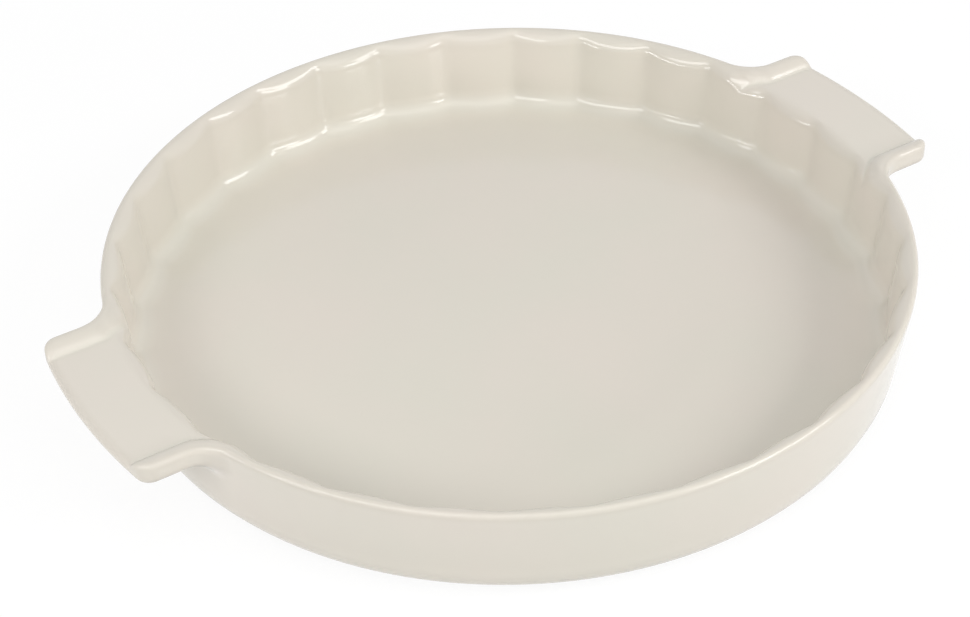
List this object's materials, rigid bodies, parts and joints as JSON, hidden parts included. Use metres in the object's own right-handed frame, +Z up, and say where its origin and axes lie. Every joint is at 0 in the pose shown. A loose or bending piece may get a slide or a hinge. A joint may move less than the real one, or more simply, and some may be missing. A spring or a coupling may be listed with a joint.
{
  "type": "pie dish",
  "caption": "Round glazed stoneware pie dish with a fluted inner wall, flat floor, foot ring and opposite tab handles with raised side lips.",
  "frame": {"origin": "centre of the foot ring's underside, on the table, midway between the handles", "axes": "+Z up out of the well, +X out through one handle along the longest side, +Y across"},
  "size_m": [0.3446, 0.2992, 0.042],
  "materials": {
    "glaze": "warm cream glaze, satin gloss",
    "bare_clay": "unglazed fired clay, matt"
  },
  "bodies": {
    "root": {"base": "glaze", "fluted_wall": "glaze", "handle_left": "glaze", "handle_right": "glaze", "foot_ring": "bare_clay"}
  },
  "joints": []
}
